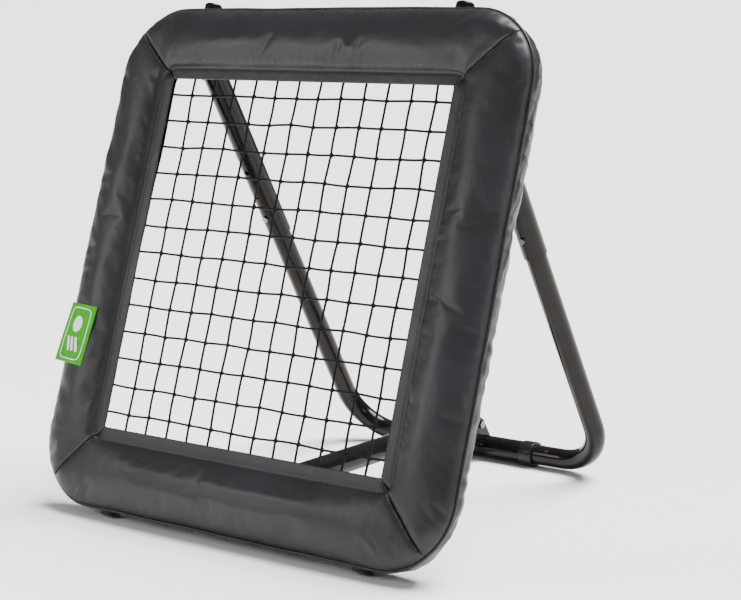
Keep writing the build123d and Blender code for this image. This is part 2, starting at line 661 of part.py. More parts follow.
# ---- legs: bent lower tubes, upper tubes, hook brackets -------------------------------------------
HALF_BAR_GAP = 0.5
SCREW_HOLE_R = 3.0
ADJUST_HOLE_R = 4.5
BUTTON_R = 4.0
BUTTON_PLANE = Plane(origin=(0, GROUND_BAR_Y, GROUND_BAR_Z), x_dir=(1, 0, 0), z_dir=(0, -0.75, 0.66))
for side, name in ((-1, "leg_lower_left"), (1, "leg_lower_right")):
    route = [(side * HALF_BAR_GAP, 0), (side * LEG_X, 0), (side * LEG_X, LOWER_END)]
    bent = bent_tube(LEG, route, LEG_BEND_R, LOWER_R)
    with BuildPart() as leg_lower:
        add(bent.part)
        with BuildSketch(LEG):
            with Locations((side * LEG_X, LEG_SCREW_AT)):
                Circle(SCREW_HOLE_R)
        extrude(amount=2 * UPPER_R, mode=Mode.SUBTRACT)
        with BuildSketch(BUTTON_PLANE):
            with Locations((side * BAR_BUTTON_X, 0)):
                Circle(BUTTON_R)
        extrude(amount=2 * UPPER_R, mode=Mode.SUBTRACT)
    save(leg_lower, name)

UPPER_END = LEG_LENGTH - UPPER_STOP_SHORT
HOOK_BOLT_AT = LEG_LENGTH - 58.0
HOOK_LOW_AT = LEG_LENGTH - 78.0
for side, name in ((-1, "leg_upper_left"), (1, "leg_upper_right")):
    start = Plane(origin=LEG.from_local_coords(Vector(side * LEG_X, UPPER_START, 0)),
                  x_dir=(1, 0, 0), z_dir=UP_LEG)
    with BuildPart() as leg_upper:
        add(ring(start, UPPER_R, UPPER_R - TUBE_WALL, UPPER_END - UPPER_START).part)
        with BuildSketch(LEG):
            with Locations((side * LEG_X, LEG_SCREW_AT)):
                Circle(SCREW_HOLE_R)
            for hole_at in LEG_HOLES_AT:
                with Locations((side * LEG_X, hole_at)):
                    Circle(ADJUST_HOLE_R)
        extrude(amount=2 * UPPER_R, mode=Mode.SUBTRACT)
        cross = Plane(origin=LEG.from_local_coords(Vector(side * LEG_X - UPPER_R, HOOK_BOLT_AT, 0)),
                      x_dir=UP_LEG, z_dir=(1, 0, 0))
        with BuildSketch(cross):
            Circle(BOLT_R)
        extrude(amount=2 * UPPER_R, mode=Mode.SUBTRACT)
    save(leg_upper, name)

JOINER_R = LOWER_R - TUBE_WALL - 0.05
ground_bar_joiner = ring(bar_plane.offset(-60), JOINER_R, JOINER_R - TUBE_WALL, 120)
save(ground_bar_joiner, "ground_bar_joiner")

with BuildPart() as leg_screws:
    for side in (-1, 1):
        with BuildSketch(LEG.offset(UPPER_R - 0.3)):
            with Locations((side * LEG_X, LEG_SCREW_AT)):
                Circle(SCREW_HEAD_R)
        extrude(amount=3.5)
        with BuildSketch(LEG.offset(LOWER_R - TUBE_WALL - 7)):
            with Locations((side * LEG_X, LEG_SCREW_AT)):
                Circle(SCREW_HOLE_R)
        extrude(amount=UPPER_R + TUBE_WALL - LOWER_R + 7)
    with BuildSketch(Plane(origin=LEG.origin, x_dir=(1, 0, 0), z_dir=UP_LEG)):
        for side in (-1, 1):
            with Locations((side * LEG_X, 0)):
                Circle(UPPER_R)
                Circle(LOWER_R + 0.6, mode=Mode.SUBTRACT)
    extrude(amount=UPPER_END, mode=Mode.SUBTRACT)
    with BuildSketch(LEG.offset(LOWER_R - 1)):
        for side in (-1, 1):
            with Locations((side * LEG_X, LEG_SCREW_AT)):
                Circle(SCREW_HOLE_R)
    extrude(amount=UPPER_R - LOWER_R + 1.2)
save(leg_screws, "leg_screws")

with BuildPart() as leg_nuts:
    for side in (-1, 1):
        spot = LEG.from_local_coords(Vector(side * LEG_X, LEG_SCREW_AT, LOWER_R - TUBE_WALL - 1.0))
        add(nut(Plane(origin=spot, x_dir=(1, 0, 0), z_dir=LEG.z_dir * -1), 5.0, SCREW_HOLE_R, 4.0).part)
save(leg_nuts, "leg_nuts")

with BuildPart() as bar_buttons:
    with BuildSketch(BUTTON_PLANE.offset(LOWER_R - 6)):
        for side in (-1, 1):
            with Locations((side * BAR_BUTTON_X, 0)):
                Circle(BUTTON_R)
    extrude(amount=8.5)
save(bar_buttons, "bar_buttons")

# The leg tops are forks, open to the front and longer inside than the frame tube needs, because
# the folding triangle is opened at this pivot.
EYE_WALL = 3.0
EYE_R = FRAME_R + 1.0
FORK_REACH = 8.0
EYE_SPOTS = ((0.0, 0.0), (-2.0, -11.3), (6.3, 10.0))
LUG_R = 12.0
for side, name in ((-1, "hook_bracket_left"), (1, "hook_bracket_right")):
    with BuildPart() as hook:
        for cheek_side in (-1, 1):
            cheek_plane = Plane(
                origin=LEG.from_local_coords(Vector(side * LEG_X + cheek_side * plate_near, LEG_LENGTH, 0)),
                x_dir=UP_LEG, z_dir=(1, 0, 0))
            with BuildSketch(cheek_plane):
                for along, front in EYE_SPOTS:
                    with Locations((along, front)):
                        Circle(EYE_R + EYE_WALL)
                with Locations((HOOK_BOLT_AT - LEG_LENGTH, 0)):
                    Circle(LUG_R)
                make_hull()
            extrude(amount=cheek_side * PLATE)
            with BuildSketch(cheek_plane):
                for along, front in EYE_SPOTS:
                    with Locations((along, front)):
                        Circle(EYE_R)
                make_hull()
                with Locations((HOOK_BOLT_AT - LEG_LENGTH, 0)):
                    Circle(BOLT_R)
                with Locations((0, FORK_REACH + 2 * FRAME_R)):
                    Rectangle(6 * FRAME_R, 4 * FRAME_R)
            extrude(amount=cheek_side * PLATE, mode=Mode.SUBTRACT)
    save(hook, name)

with BuildPart() as hook_bolts:
    for side in (-1, 1):
        spot = LEG.from_local_coords(Vector(side * LEG_X + plate_far, HOOK_BOLT_AT, 0))
        add(bolt(Plane(origin=spot, x_dir=UP_LEG, z_dir=(1, 0, 0)), BOLT_R, 2 * plate_far + 9,
                 BOLT_HEAD_R, BOLT_HEAD).part)
save(hook_bolts, "hook_bolts")

with BuildPart() as hook_nuts:
    for side in (-1, 1):
        spot = LEG.from_local_coords(Vector(side * LEG_X - plate_far, HOOK_BOLT_AT, 0))
        add(nut(Plane(origin=spot, x_dir=UP_LEG, z_dir=(-1, 0, 0)), BOLT_HEAD_R, BOLT_R,
                NUT_HEIGHT).part)
save(hook_nuts, "hook_nuts")
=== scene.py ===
import json
import math
import random

import bmesh
import bpy
from bpy.props import FloatProperty, FloatVectorProperty, PointerProperty
from mathutils import Matrix, Vector, noise
from mathutils.bvhtree import BVHTree


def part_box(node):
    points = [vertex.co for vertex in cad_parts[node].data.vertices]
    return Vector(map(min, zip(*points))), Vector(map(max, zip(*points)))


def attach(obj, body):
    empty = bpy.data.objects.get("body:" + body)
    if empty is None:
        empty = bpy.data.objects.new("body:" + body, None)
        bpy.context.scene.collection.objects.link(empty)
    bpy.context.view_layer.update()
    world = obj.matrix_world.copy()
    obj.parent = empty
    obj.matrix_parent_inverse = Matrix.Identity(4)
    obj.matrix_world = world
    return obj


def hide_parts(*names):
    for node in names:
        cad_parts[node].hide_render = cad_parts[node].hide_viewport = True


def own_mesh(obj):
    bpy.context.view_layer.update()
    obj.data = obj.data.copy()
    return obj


bl_info = {
    "name": "Pitch Back Rebounder",
    "version": (1, 0, 0),
    "blender": (4, 5, 0),
    "location": "View3D > Sidebar > Rebounder",
    "description": "Cover, net and finishes for a folding pitch back rebounder",
    "category": "Object",
}

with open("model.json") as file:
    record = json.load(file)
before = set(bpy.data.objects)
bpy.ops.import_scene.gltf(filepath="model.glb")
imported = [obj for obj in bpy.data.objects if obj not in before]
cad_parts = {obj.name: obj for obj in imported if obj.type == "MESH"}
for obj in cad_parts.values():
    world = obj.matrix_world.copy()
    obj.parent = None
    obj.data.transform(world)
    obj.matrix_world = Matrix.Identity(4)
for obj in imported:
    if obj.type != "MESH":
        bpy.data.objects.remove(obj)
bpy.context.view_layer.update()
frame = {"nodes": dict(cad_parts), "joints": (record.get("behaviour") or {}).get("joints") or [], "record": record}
MM = 0.001

# ---- the pad's own axes: u across, v up the pad, w out of its front --------------------------
LEAN = math.radians(19.0)
UP = Vector((0, math.sin(LEAN), math.cos(LEAN)))
OUT = Vector((0, -math.cos(LEAN), math.sin(LEAN)))
JOINTS = {joint["name"]: joint for joint in frame["joints"]}
HINGE = Vector(JOINTS["frame_tilt"]["pos_m"])
HINGE_V = 52 * MM
TUBE_W = -21 * MM
PAD_ORIGIN = HINGE - UP * HINGE_V - OUT * TUBE_W

PAD = 840 * MM
CORNER_R = 115 * MM
BAND = 131 * MM
TOP_BAND = 121 * MM
SIDE_DEPTH = 40 * MM
REAR_BULGE = 6 * MM
REAR_FLAP = 75 * MM
FLAP = 22 * MM
FLAP_RISE = 11 * MM
LEG_U = 272.5 * MM
SLOT_HALF = 28 * MM
FOOT_U = 265 * MM
CAP_U = 260 * MM
STUD_W = -18.5 * MM
SIDES = ("top", "right", "bottom", "left")
SEED = 7
CLOTH_THICK = 1.2 * MM
PIPING_R = 2.3 * MM
ROPE_R = 2.2 * MM
ROPE_CORNER_R = 18 * MM
FOAM_THICK = 3.5 * MM
FOAM_FACE = 7.5 * MM
FOAM_START = 0.24
FOAM_SPAN = 0.42
FLOOR_R = 250.0


def at(u, v, w):
    """The place in the frame of a point given in the pad's own axes."""
    return PAD_ORIGIN + Vector((u, 0, 0)) + UP * v + OUT * w


def ease(x):
    x = min(1.0, max(0.0, x))
    return x * x * (3 - 2 * x)


def settings():
    return bpy.context.scene.rebounder


# ---- mesh helpers ----------------------------------------------------------------------------
def piece_from(bm, name, material, smooth=True):
    """Makes a finished object at the origin from a bmesh."""
    mesh = bpy.data.meshes.new(name)
    bm.to_mesh(mesh)
    bm.free()
    mesh.polygons.foreach_set("use_smooth", [smooth] * len(mesh.polygons))
    piece = bpy.data.objects.new(name, mesh)
    bpy.context.scene.collection.objects.link(piece)
    mesh.materials.append(material)
    return piece


def finish_piece(piece, body, slot, *nodes):
    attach(piece, body)
    if nodes:
        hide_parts(*nodes)
    return piece


def lathe(bm, profile, spot, axis, steps=48):
    """Spins a profile of (radius, height) points round an axis through a spot."""
    axis = axis.normalized()
    across = axis.orthogonal().normalized()
    verts = [bm.verts.new(spot + across * r + axis * h) for r, h in profile]
    edges = [bm.edges.new(pair) for pair in zip(verts, verts[1:])]
    bmesh.ops.spin(bm, geom=verts + edges, cent=spot, axis=axis, dvec=(0, 0, 0),
                   angle=2 * math.pi, steps=steps, use_merge=True)
    bmesh.ops.remove_doubles(bm, verts=bm.verts, dist=1e-6)
    bmesh.ops.recalc_face_normals(bm, faces=bm.faces)


def rounded_profile(outer, inner, low, high, radius, steps=4):
    """Closed ring section with rounded outer corners, as (radius, height) points."""
    points = [(inner, low)]
    for centre_h, start in ((low + radius, -90), (high - radius, 0)):
        for step in range(steps + 1):
            angle = math.radians(start + 90 * step / steps)
            points.append((outer - radius + radius * math.cos(angle),
                           centre_h + radius * math.sin(angle)))
    points += [(inner, high), (inner, low)]
    return points


def cords_mesh(name, paths, radius, material, cyclic=False, sides=3):
    """Round cords along smooth paths, as one mesh."""
    data = bpy.data.curves.new(name + "_route", "CURVE")
    data.dimensions = "3D"
    data.bevel_depth = radius
    data.bevel_resolution = sides
    data.resolution_u = 3
    data.use_fill_caps = not cyclic
    for path in paths:
        spline = data.splines.new("NURBS")
        spline.points.add(len(path) - 1)
        for point, spot in zip(spline.points, path):
            point.co = (*spot, 1)
        spline.use_cyclic_u = cyclic
        spline.order_u = 3
        spline.use_endpoint_u = not cyclic
    route = bpy.data.objects.new(name + "_route", data)
    bpy.context.scene.collection.objects.link(route)
    bpy.context.view_layer.update()
    graph = bpy.context.evaluated_depsgraph_get()
    mesh = bpy.data.meshes.new_from_object(route.evaluated_get(graph))
    bpy.data.objects.remove(route)
    mesh.name = name
    mesh.materials.clear()
    mesh.materials.append(material)
    mesh.polygons.foreach_set("use_smooth", [True] * len(mesh.polygons))
    piece = bpy.data.objects.new(name, mesh)
    bpy.context.scene.collection.objects.link(piece)
    return piece


# ---- materials -------------------------------------------------------------------------------
class Finish:
    """A Principled material with object or UV coordinates and a chain of bumps."""

    def __init__(self, name, colour, roughness, **sockets):
        self.material = bpy.data.materials.new(name)
        self.material.use_nodes = True
        self.tree = self.material.node_tree
        self.shader = self.tree.nodes["Principled BSDF"]
        self.shader.inputs["Base Color"].default_value = (*colour, 1)
        self.shader.inputs["Roughness"].default_value = roughness
        for socket, value in sockets.items():
            label = socket.replace("_", " ").title().replace("Ior", "IOR")
            self.shader.inputs[label].default_value = value
        self.coords = self.tree.nodes.new("ShaderNodeTexCoord")
        self.colour = colour
        self.normal = None

    def node(self, kind, **values):
        made = self.tree.nodes.new(kind)
        for key, value in values.items():
            if key in made.inputs:
                made.inputs[key].default_value = value
            else:
                setattr(made, key, value)
        return made

    def link(self, out, into):
        self.tree.links.new(out, into)

    def noise(self, scale, detail=4.0, space="Object", stretch=(1, 1, 1)):
        mapping = self.node("ShaderNodeMapping", Scale=stretch)
        self.link(self.coords.outputs[space], mapping.inputs["Vector"])
        made = self.node("ShaderNodeTexNoise", Scale=scale, Detail=detail)
        self.link(mapping.outputs["Vector"], made.inputs["Vector"])
        return made.outputs["Fac"]

    def wave(self, scale, direction, space="UV"):
        made = self.node("ShaderNodeTexWave", bands_direction=direction, Scale=scale)
        self.link(self.coords.outputs[space], made.inputs["Vector"])
        return made.outputs["Fac"]

    def mix_noise(self, factor, low, high, socket):
        """Drives a socket between two values or colours by a factor."""
        ramp = self.node("ShaderNodeMapRange")
        ramp.inputs["To Min"].default_value = low
        ramp.inputs["To Max"].default_value = high
        self.link(factor, ramp.inputs["Value"])
        self.link(ramp.outputs["Result"], self.shader.inputs[socket])

    def tint(self, factor, dark, light):
        """Varies the base colour between two shades by a factor."""
        ramp = self.node("ShaderNodeValToRGB")
        ramp.color_ramp.elements[0].color = (*(c * dark for c in self.colour), 1)
        ramp.color_ramp.elements[1].color = (*(min(1, c * light) for c in self.colour), 1)
        ramp.color_ramp.elements[0].position = 0.3
        ramp.color_ramp.elements[1].position = 0.7
        self.link(factor, ramp.inputs["Fac"])
        self.link(ramp.outputs["Color"], self.shader.inputs["Base Color"])

    def bump(self, height, strength, distance):
        made = self.node("ShaderNodeBump", Strength=strength, Distance=distance)
        self.link(height, made.inputs["Height"])
        if self.normal:
            self.link(self.normal, made.inputs["Normal"])
        self.normal = made.outputs["Normal"]
        self.link(self.normal, self.shader.inputs["Normal"])


def cover_cloth():
    """Satin coated cloth: fine weave, soft creases and slightly uneven sheen."""
    made = Finish("cover_cloth", tuple(settings().cover_colour), 0.4, specular_ior_level=0.3)
    made.tint(made.noise(9.0, 6.0), 0.75, 1.3)
    made.mix_noise(made.noise(14.0, 5.0), 0.32, 0.5, "Roughness")
    made.bump(made.noise(26.0, 6.0), 0.35, 0.004)
    made.bump(made.noise(120.0, 3.0), 0.12, 0.0008)
    made.bump(made.wave(420.0, "X"), 0.10, 0.0002)
    made.bump(made.wave(420.0, "Y"), 0.10, 0.0002)
    return made.material


def black_paint():
    """Gloss black powder paint with faint orange peel and a few dull patches."""
    made = Finish("black_paint", (0.005, 0.0045, 0.004), 0.16, specular_ior_level=0.2,
                  specular_tint=(1.0, 0.93, 0.87, 1.0))
    made.tint(made.noise(30.0, 6.0), 0.7, 1.6)
    made.mix_noise(made.noise(18.0, 5.0), 0.1, 0.2, "Roughness")
    made.bump(made.noise(260.0, 2.0), 0.06, 0.0006)
    return made.material


def zinc():
    """Bright zinc plating with a light cross grain."""
    made = Finish("zinc", (0.2, 0.195, 0.185), 0.24, metallic=1.0)
    made.tint(made.noise(90.0, 5.0), 0.75, 1.15)
    made.mix_noise(made.noise(300.0, 4.0), 0.18, 0.36, "Roughness")
    made.bump(made.noise(700.0, 3.0), 0.1, 0.0003)
    return made.material


def black_plastic():
    """Moulded black plastic with fine spark texture."""
    made = Finish("black_plastic", (0.008, 0.008, 0.0085), 0.28, specular_ior_level=0.25)
    made.tint(made.noise(40.0, 5.0), 0.8, 1.3)
    made.mix_noise(made.noise(60.0, 4.0), 0.24, 0.4, "Roughness")
    made.bump(made.noise(900.0, 2.0), 0.12, 0.0003)
    return made.material


def foot_rubber():
    """Dull rubber with dust in its pores."""
    made = Finish("foot_rubber", (0.017, 0.017, 0.017), 0.62, specular_ior_level=0.35)
    made.tint(made.noise(70.0, 6.0), 0.8, 1.9)
    made.mix_noise(made.noise(80.0, 5.0), 0.52, 0.75, "Roughness")
    made.bump(made.noise(600.0, 3.0), 0.25, 0.0005)
    return made.material


def cord_finish(name, colour, roughness, strands):
    """Twisted or braided cord: slanting strands over a fibrous surface."""
    made = Finish(name, colour, roughness, specular_ior_level=0.12)
    made.tint(made.noise(60.0, 5.0), 0.7, 1.7)
    weave = made.node("ShaderNodeTexWave", bands_direction="DIAGONAL", Scale=strands,
                      Distortion=1.5)
    made.link(made.coords.outputs["Object"], weave.inputs["Vector"])
    made.bump(weave.outputs["Fac"], 0.45, 0.0006)
    made.bump(made.noise(1500.0, 3.0), 0.2, 0.0003)
    return made.material


def foam_finish():
    """Grey open-cell foam."""
    made = Finish("foam", (0.2, 0.2, 0.21), 0.9, specular_ior_level=0.1)
    made.tint(made.noise(50.0, 6.0), 0.75, 1.2)
    cells = made.node("ShaderNodeTexVoronoi", Scale=700.0)
    made.link(made.coords.outputs["Object"], cells.inputs["Vector"])
    made.bump(cells.outputs["Distance"], 0.5, 0.0008)
    return made.material


def tag_cloth():
    """Woven satin ribbon."""
    made = Finish("tag_cloth", tuple(settings().tag_colour), 0.5, specular_ior_level=0.15)
    made.tint(made.noise(120.0, 4.0), 0.85, 1.15)
    made.bump(made.wave(380.0, "X"), 0.2, 0.0003)
    made.bump(made.wave(380.0, "Y"), 0.12, 0.0003)
    return made.material


def plain_thread(name, shade):
    made = Finish(name, (shade, shade, shade * 1.02), 0.6, sheen_weight=0.3)
    made.tint(made.noise(400.0, 3.0), 0.7, 1.3)
    made.bump(made.noise(2500.0, 2.0), 0.3, 0.0002)
    return made.material


FINISHES = {}


def finish(name):
    """The material of that name, made once."""
    makers = {
        "cover_cloth": cover_cloth,
        "black_paint": black_paint,
        "zinc": zinc,
        "black_plastic": black_plastic,
        "foot_rubber": foot_rubber,
        "foam": foam_finish,
        "tag_cloth": tag_cloth,
        "net_cord": lambda: cord_finish("net_cord", (0.004, 0.004, 0.0045), 0.6, 260.0),
        "elastic": lambda: cord_finish("elastic", (0.02, 0.02, 0.021), 0.7, 420.0),
        "light_thread": lambda: plain_thread("light_thread", 0.11),
        "dark_thread": lambda: plain_thread("dark_thread", 0.012),
        "white_print": lambda: plain_thread("white_print", 0.82),
    }
    if name not in FINISHES:
        FINISHES[name] = makers[name]()
    return FINISHES[name]


# ---- cover -----------------------------------------------------------------------------------
ALONG = 168
STITCH_ROW = 5
SIDE_ROWS = 10
REAR_ROWS = 13
SLACK_SHARE = {"front": 0.22, "side": 1.0, "rear": 0.5}
OUTWARD = {"top": (0, 1), "bottom": (0, -1), "right": (1, 0), "left": (-1, 0)}
PUFF_LIMIT = 9 * MM
PUFF_FRAMES = 20
CREASE_STEPS = (1.2, 2.0, 2.8, 3.6, 4.6)
EDGE_STEPS = (4.5, 3.8, 3.0, 2.2, 1.5)


def front_shares():
    """Shares of the band, from the opening to the piping, closer together at its folds."""
    places = [FLAP * i / STITCH_ROW for i in range(STITCH_ROW + 1)]
    for step in CREASE_STEPS:
        places.append(places[-1] + step * MM)
    plain = BAND - sum(EDGE_STEPS) * MM - places[-1]
    count = round(plain / (5.2 * MM))
    places += [places[-1] + plain * (i + 1) / count for i in range(count)]
    for step in EDGE_STEPS:
        places.append(places[-1] + step * MM)
    return [max(0.0, 1 - place / BAND) for place in places]


def ring_spot(side, t, ring):
    """A point (u, v) on a rounded square: t runs from -1 to 1 between the side's two corners."""
    half_u, low, high, radius = ring
    half = half_u if side in ("top", "bottom") else (high - low) / 2
    straight = half - radius
    reach = abs(t) * (straight + radius * math.pi / 4)
    if reach <= straight:
        x, d = reach, 0.0
    else:
        angle = (reach - straight) / radius
        x, d = straight + radius * math.sin(angle), radius * (1 - math.cos(angle))
    x = math.copysign(x, t)
    middle = (low + high) / 2
    return {"top": (x, high - d), "bottom": (-x, low + d), "right": (half_u - d, middle - x),
            "left": (d - half_u, middle + x)}[side]


def front_ring(b):
    """Outline of the front face: b is 0 at the piping and 1 at the opening."""
    return (PAD / 2 - BAND * b, BAND * b, PAD - TOP_BAND * b, CORNER_R * (1 - b) + 3 * MM * b)


def inset_ring(s):
    return (PAD / 2 - s, s, PAD - s, max(CORNER_R - s, 20 * MM))


def quarter(x):
    """Height of a quarter circle of radius 1 at x from its foot."""
    x = min(1.0, max(0.0, x))
    return math.sqrt(1 - (1 - x) ** 2)


def front_depth(b):
    """How far the front face stands forward before it is puffed."""
    crease = 1.5 * MM
    outer_shoulder = 32 * MM
    inner_shoulder = 11 * MM
    reach = BAND - FLAP
    x = b * BAND
    if x >= reach:
        return FLAP_RISE - crease * math.exp(-(x - reach) / (2.5 * MM))
    puff_height = settings().cover_puff
    outer = (FLAP_RISE + puff_height) * quarter(x / outer_shoulder) ** 0.9
    inner = FLAP_RISE - crease + (puff_height + crease) * quarter((reach - x) / inner_shoulder)
    return min(outer, inner) + 1.5 * MM * math.sin(math.pi * x / reach)


def wall_inset(d, v):
    """How far the wall draws in behind the piping: most low on the sides, least underneath."""
    low = ease(1 - v / PAD)
    under = ease(1 - v / (70 * MM))
    beside = (10 + 9 * low) * MM * d ** 1.6 - 3.0 * MM * math.sin(math.pi * d)
    below = 3.0 * MM * d
    return beside + (below - beside) * under


def edge_pull(side, t):
    """How far the sewn edge strays inward from its pattern."""
    u, v = ring_spot(side, t, front_ring(0))
    stray = 1.6 * MM * noise.noise(Vector((u * 11, v * 11, 5.5)))
    if u < 0:
        stray += 7 * MM * ease((v - 0.42) / 0.3) * ease((-u - 0.3) / 0.1)
    return stray


def cover_rows():
    """(kind of outline, share through it) of each row, opening first."""
    rows = [("front", share) for share in front_shares()]
    rows += [("side", i / SIDE_ROWS) for i in range(1, SIDE_ROWS + 1)]
    rows += [("rear", i / REAR_ROWS) for i in range(1, REAR_ROWS + 1)]
    return rows


def cover_spot(side, t, zone, share):
    """(u, v, w) of the smooth cover before its puckers."""
    pull = edge_pull(side, t)
    if zone == "front":
        pull *= (1 - share) ** 2
        u, v = ring_spot(side, t, front_ring(share))
        w = front_depth(share)
    else:
        edge_v = ring_spot(side, t, front_ring(0))[1]
        inset = wall_inset(share if zone == "side" else 1.0, edge_v)
        w = -SIDE_DEPTH * share
        if zone == "rear":
            inset += (REAR_FLAP - inset) * share
            w = -SIDE_DEPTH - REAR_BULGE * ease(REAR_FLAP * share / (20 * MM))
        u, v = ring_spot(side, t, inset_ring(inset))
    towards = Vector((-u, PAD / 2 - v)).normalized()
    return u + towards.x * pull, v + towards.y * pull, w


def ripple(place, along, zone, share):
    """Height of the sewn-in puckers at a point, in metres."""
    near = noise.noise(Vector((along * 62, place * 3.1, 1.7)))
    fine = noise.noise(Vector((along * 150, place * 5.3, 8.1)))
    broad = noise.noise(Vector((along * 14, share * 2.2, place * 7.7)))
    slant = noise.noise(Vector((along * 30 + share * 5.0, share * 1.5 + place, 3.3)))
    if zone == "front":
        edge = math.exp(-share * BAND / (16 * MM))
        beyond = (1 - FLAP / BAND - share) * BAND
        puffed = ease(beyond / (9 * MM))
        seam = math.exp(-abs(beyond) / (12 * MM)) * (0.25 + 0.75 * puffed)
        gather = noise.noise(Vector((along * 95, place * 2.3, 6.1)))
        return (1.8 * near + 0.8 * fine) * MM * edge + (1.9 * gather + 0.6 * fine) * MM * seam \
            + (2.4 * broad + 1.3 * slant) * MM * puffed * (1 - 0.4 * edge)
    if zone == "side":
        rise = math.sin(math.pi * (0.12 + 0.8 * share))
        return (4.4 * near + 1.8 * fine + 3.0 * slant) * MM * rise
    return (1.6 * near + 2.0 * broad) * MM * (1 - 0.6 * share)


def in_slot(side, zone, share, u, v):
    """Whether a point lies in a slot for a leg, which starts on the wall, or for the spacer."""
    if side == "top" and (zone == "rear" or (zone == "side" and share > 0.65)):
        return abs(abs(u) - LEG_U) < SLOT_HALF
    return side == "bottom" and zone == "rear" and abs(u) < SLOT_HALF and v > 26 * MM


def hold_weight(row, column, zone, share, side, u, v):
    """How firmly the sewing holds a point while the cover is puffed."""
    if column in (0, ALONG) or row <= STITCH_ROW or (zone == "front" and share == 0.0):
        return 1.0
    if in_slot(side, zone, share, u, v):
        return 1.0
    if zone == "rear":
        return 1.0 if share > 0.9 else 0.12
    if zone == "side" and share == 1.0:
        return 0.35
    return 0.0


def puff(piece, slack, cap):
    """Swells a held sheet by cloth simulation and applies the result, with its moves capped."""
    before = [vert.co.copy() for vert in piece.data.vertices]
    cloth = piece.modifiers.new("Cloth", "CLOTH")
    cloth.settings.vertex_group_mass = "hold"
    cloth.settings.pin_stiffness = 8.0
    cloth.settings.use_pressure = True
    cloth.settings.uniform_pressure_force = 2.5
    cloth.settings.effector_weights.gravity = 0.0
    cloth.settings.quality = 5
    cloth.settings.bending_stiffness = 0.8
    cloth.settings.shrink_min = -0.002
    cloth.settings.vertex_group_shrink = "slack"
    cloth.settings.shrink_max = -slack
    cloth.point_cache.frame_start = 1
    cloth.point_cache.frame_end = PUFF_FRAMES
    for step in range(1, PUFF_FRAMES + 1):
        bpy.context.scene.frame_set(step)
    graph = bpy.context.evaluated_depsgraph_get()
    swollen = [vert.co.copy() for vert in piece.evaluated_get(graph).data.vertices]
    piece.modifiers.remove(cloth)
    for vert, old, new in zip(piece.data.vertices, before, swollen):
        move = new - old
        vert.co = old + move * min(1.0, cap / max(move.length, 1e-9))
    bpy.context.scene.frame_set(1)


def cover_panel(side):
    """One mitred side of the cover: front face, side wall and rear flap in one cloth."""
    rows = cover_rows()
    bm = bmesh.new()
    bmesh.ops.create_grid(bm, x_segments=ALONG, y_segments=len(rows) - 1, size=0.5)
    uv = bm.loops.layers.uv.new("UVMap")
    place = SIDES.index(side)
    facts = []
    for vert in bm.verts:
        column = round((vert.co.x + 0.5) * ALONG)
        row = round((vert.co.y + 0.5) * (len(rows) - 1))
        zone, share = rows[row]
        t = 2 * column / ALONG - 1
        u, v, depth = cover_spot(side, t, zone, share)
        end = ease((1 - abs(t)) * PAD / 2 / (20 * MM))
        seam_dip = (1 - quarter((1 - abs(t)) * PAD / 2 / (22 * MM))) * 5.0 * MM
        lift = ripple(place, t * PAD / 2, zone, share) * end * (0.4 if side == "bottom" else 1.0)
        if zone == "front":
            inner = ease((1 - share) * BAND / FLAP)
            depth += lift - seam_dip * inner * ease(share * BAND / (15 * MM))
        elif zone == "side":
            corner = Vector((u, v - PAD / 2)).normalized()
            turn = ease((abs(t) - 0.6) / 0.4)
            direction = Vector(OUTWARD[side]).lerp(corner, turn)
            u, v = u + direction.x * lift, v + direction.y * lift
        else:
            depth -= abs(lift)
        vert.co = at(u, v, depth)
        hold = hold_weight(row, column, zone, share, side, u, v)
        facts.append((hold, SLACK_SHARE[zone] * end, column, row, (zone, share, u, v)))
    bm.verts.index_update()
    for face in bm.faces:
        for loop in face.loops:
            fact = facts[loop.vert.index]
            loop[uv].uv = (fact[2] / ALONG * PAD, fact[3] / len(rows) * 0.25)
    bmesh.ops.recalc_face_normals(bm, faces=bm.faces)
    middle = at(0, PAD / 2, -0.5)
    outer_face = max(bm.faces, key=lambda f: (f.calc_center_median() - middle).length)
    if outer_face.normal.dot(outer_face.calc_center_median() - middle) < 0:
        bmesh.ops.reverse_faces(bm, faces=bm.faces)
    piece = piece_from(bm, f"cover_{side}_panel", finish("cover_cloth"))
    for name, index in (("hold", 0), ("slack", 1)):
        group = piece.vertex_groups.new(name=name)
        for number, fact in enumerate(facts):
            group.add([number], fact[index], "REPLACE")
    puff(piece, settings().cover_slack, PUFF_LIMIT)
    bm = bmesh.new()
    bm.from_mesh(piece.data)
    bm.verts.ensure_lookup_table()
    cut = [face for face in bm.faces
           if all(in_slot(side, *facts[vert.index][4]) for vert in face.verts)]
    bmesh.ops.delete(bm, geom=cut, context="FACES")
    bm.to_mesh(piece.data)
    bm.free()
    piece.vertex_groups.clear()
    smooth = piece.modifiers.new("Subdivision", "SUBSURF")
    smooth.levels = smooth.render_levels = 1
    shell = piece.modifiers.new("Solidify", "SOLIDIFY")
    shell.thickness = CLOTH_THICK
    shell.offset = -1
    return finish_piece(piece, "net_frame", "cover_cloth", f"cover_{side}", f"foam_{side}")


def cover_tree(panels):
    """Search tree of the finished front faces, for sewing thread to them."""
    graph = bpy.context.evaluated_depsgraph_get()
    bm = bmesh.new()
    for panel in panels:
        bm.from_mesh(panel.evaluated_get(graph).data)
    tree = BVHTree.FromBMesh(bm)
    bm.free()
    return tree


def on_cover(tree, u, v, lift=0.0):
    """The point of the cover's front over (u, v), or None."""
    hit = tree.ray_cast(at(u, v, 60 * MM), -OUT, 90 * MM)
    return hit[0] + OUT * lift if hit[0] else None


